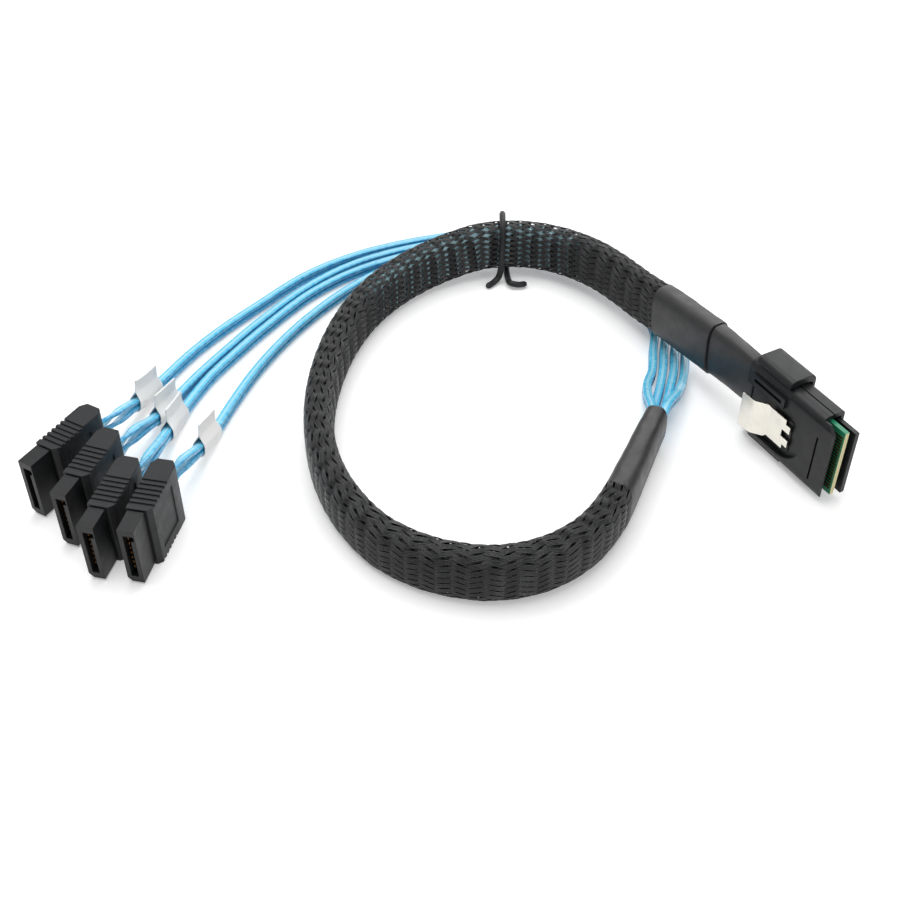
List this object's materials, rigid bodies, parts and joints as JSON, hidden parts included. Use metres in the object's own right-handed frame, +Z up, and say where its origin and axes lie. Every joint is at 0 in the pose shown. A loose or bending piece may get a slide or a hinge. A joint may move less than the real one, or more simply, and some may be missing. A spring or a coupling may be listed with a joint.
{
  "type": "mini SAS to four drive plugs breakout cable",
  "caption": "Internal mini SAS breakout cable: latching wide plug, braided trunk, blue ribbon pairs and narrow drive plugs, lying in a loop.",
  "frame": {"origin": "middle of the flat edge on which the wide plug stands", "axes": "+Z up from the surface on which the cable lies, +X along the cable's longest extent"},
  "size_m": [0.167, 0.1283, 0.0222],
  "materials": {
    "plug_nylon": "moulded, slightly glossy",
    "grip_pvc": "moulded, matt",
    "braid_pet": "braided monofilament",
    "shrink_tube": "satin",
    "ribbon_jacket": "glossy film",
    "flag_paper": "matt",
    "latch_steel": "stamped",
    "card_laminate": "solder mask",
    "contact_gold": "plated",
    "resin": "moulded"
  },
  "bodies": {
    "cable": {"host_latch_shell": "plug_nylon", "host_back_shell": "plug_nylon", "host_cover": "plug_nylon", "host_paddle_card": "card_laminate", "host_wire_block": "resin", "host_inner_shrink": "shrink_tube", "host_outer_shrink": "shrink_tube", "braided_sleeve": "braid_pet", "breakout_shrink": "shrink_tube", "twist_tie": "grip_pvc", "drive_1_insulator": "plug_nylon", "drive_1_contacts": "contact_gold", "drive_1_grip": "grip_pvc", "ribbon_1_lower": "ribbon_jacket", "ribbon_1_upper": "ribbon_jacket", "flag_1": "flag_paper", "drive_2_insulator": "plug_nylon", "drive_2_contacts": "contact_gold", "drive_2_grip": "grip_pvc", "ribbon_2_lower": "ribbon_jacket", "ribbon_2_upper": "ribbon_jacket", "flag_2": "flag_paper", "drive_3_insulator": "plug_nylon", "drive_3_contacts": "contact_gold", "drive_3_grip": "grip_pvc", "ribbon_3_lower": "ribbon_jacket", "ribbon_3_upper": "ribbon_jacket", "flag_3": "flag_paper", "drive_4_insulator": "plug_nylon", "drive_4_contacts": "contact_gold", "drive_4_grip": "grip_pvc", "ribbon_4_lower": "ribbon_jacket", "ribbon_4_upper": "ribbon_jacket", "flag_4": "flag_paper"},
    "latch": {"host_latch": "latch_steel"}
  },
  "joints": [
    {"name": "latch_flex", "type": "hinge", "parent": "cable", "child": "latch", "pos_m": [-0.00175, -0.00234, 0.0091], "axis": [0, 0, -1], "range_deg": [0, 4], "stiffness_Nm_per_rad": 0.002}
  ]
}
